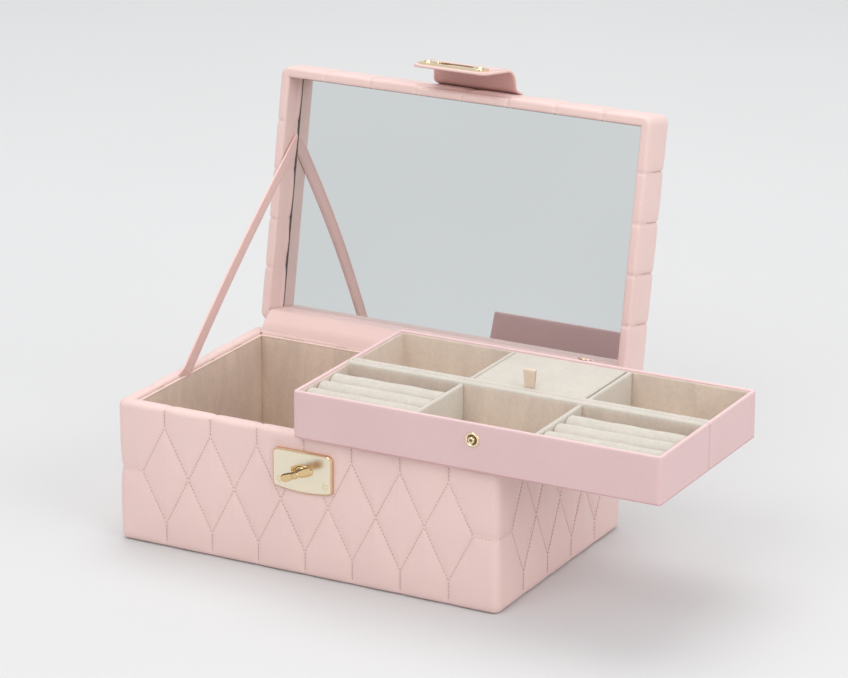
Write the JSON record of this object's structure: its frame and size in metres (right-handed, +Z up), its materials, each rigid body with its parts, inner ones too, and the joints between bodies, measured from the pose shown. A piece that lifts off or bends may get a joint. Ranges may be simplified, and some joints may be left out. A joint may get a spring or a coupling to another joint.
{
  "type": "jewelry box",
  "caption": "Quilted leather jewelry box with a mirrored hinged lid, a turn lock under a leather flap, and a folding travel tray with ring rolls standing on its rim.",
  "frame": {"origin": "centre of the base's underside, on the surface that the box stands on", "axes": "+X to the right along the width, +Y to the back where the hinge is, +Z up"},
  "size_m": [0.395, 0.2559, 0.295],
  "materials": {
    "quilted_leather": "padded leatherette quilted in long diamonds",
    "smooth_leather": "smooth stitched leatherette",
    "tray_leather": "fine grained leatherette, mauve",
    "suede": "beige suede cloth",
    "cream_suede": "cream suede cloth over soft padding",
    "board": "fibreboard",
    "foam": "upholstery foam",
    "gold": "pale gold plate, satin",
    "steel": "plated steel",
    "mirror": "silvered glass"
  },
  "bodies": {
    "base": {"base_floor_board": "board", "base_front_board": "board", "base_back_board": "board", "base_left_board": "board", "base_right_board": "board", "base_cover": "quilted_leather", "base_underside": "suede", "lining_front": "suede", "lining_back": "suede", "lining_left": "suede", "lining_right": "suede", "floor_pad": "suede", "long_divider": "cream_suede", "cross_dividers": "cream_suede", "hinge_leaf_base": "steel", "hinge_pin": "steel", "hinge_screws_base": "steel", "hinge_gusset": "smooth_leather", "stay_strap": "smooth_leather", "lock_plate": "gold", "lock_screws": "gold"},
    "turn_knob": {"turn_knob": "gold", "knob_retainer": "steel"},
    "lid": {"lid_top_board": "board", "lid_front_board": "board", "lid_back_board": "board", "lid_left_board": "board", "lid_right_board": "board", "lid_cover": "quilted_leather", "lid_foam": "foam", "lid_inner_wrap": "smooth_leather", "mirror": "mirror", "mirror_backing": "board", "hinge_leaf_lid": "steel", "hinge_screws_lid": "steel", "flap_anchor": "smooth_leather"},
    "closure_flap": {"flap_root": "smooth_leather"},
    "flap_tip": {"flap_end": "smooth_leather", "strike_plate": "gold", "strike_rivets": "gold"},
    "tray_front": {"tray_front_shell": "tray_leather", "tray_front_lining": "suede", "tray_front_dividers": "cream_suede", "ring_roll_1": "cream_suede", "ring_roll_2": "cream_suede", "ring_roll_3": "cream_suede", "ring_roll_4": "cream_suede", "ring_roll_5": "cream_suede", "ring_roll_6": "cream_suede", "snap_stud": "gold", "fold_strip": "cream_suede"},
    "tray_rear": {"tray_rear_shell": "tray_leather", "tray_rear_lining": "suede", "tray_rear_dividers": "cream_suede", "tab_anchor": "tray_leather"},
    "snap_tab": {"snap_tab": "tray_leather", "snap_socket": "gold"},
    "compartment_lid": {"compartment_lid": "cream_suede", "lid_pull_tab": "suede"}
  },
  "joints": [
    {"name": "lid_hinge", "type": "hinge", "parent": "base", "child": "lid", "pos_m": [0, 0.0915, 0.0973], "axis": [1, 0, 0], "range_deg": [0, 101], "deforming": ["stay_strap", "hinge_gusset"]},
    {"name": "tray_aside", "type": "slide", "parent": "base", "child": "tray_front", "axis": [1, 0, 0], "range_m": [0, 0.242]},
    {"name": "tray_fold", "type": "hinge", "parent": "tray_front", "child": "tray_rear", "pos_m": [0, -0.025, 0.1291], "axis": [1, 0, 0], "range_deg": [0, 180], "deforming": ["fold_strip"]},
    {"name": "compartment_lid_hinge", "type": "hinge", "parent": "tray_rear", "child": "compartment_lid", "pos_m": [0, 0.0401, 0.1265], "axis": [1, 0, 0], "range_deg": [-85, 0]},
    {"name": "snap_tab_bend", "type": "hinge", "parent": "tray_rear", "child": "snap_tab", "pos_m": [0, 0.04925, 0.1271], "axis": [1, 0, 0], "range_deg": [0, 110]},
    {"name": "flap_bend", "type": "hinge", "parent": "lid", "child": "closure_flap", "pos_m": [0, 0.14509, 0.27341], "axis": [1, 0, 0], "range_deg": [-20, 74]},
    {"name": "flap_curl", "type": "hinge", "parent": "closure_flap", "child": "flap_tip", "pos_m": [0, 0.14387, 0.28736], "axis": [1, 0, 0], "range_deg": [-77.1, 21]},
    {"name": "knob_turn", "type": "hinge", "parent": "base", "child": "turn_knob", "pos_m": [0, -0.088, 0.073], "axis": [0, -1, 0], "range_deg": [-25, 65]}
  ],
  "couplings": [
    {"joint": "tray_aside", "follows": "lid_hinge", "m_per_rad": 0.137},
    {"joint": "flap_curl", "follows": "flap_bend", "ratio": -1.0405}
  ]
}
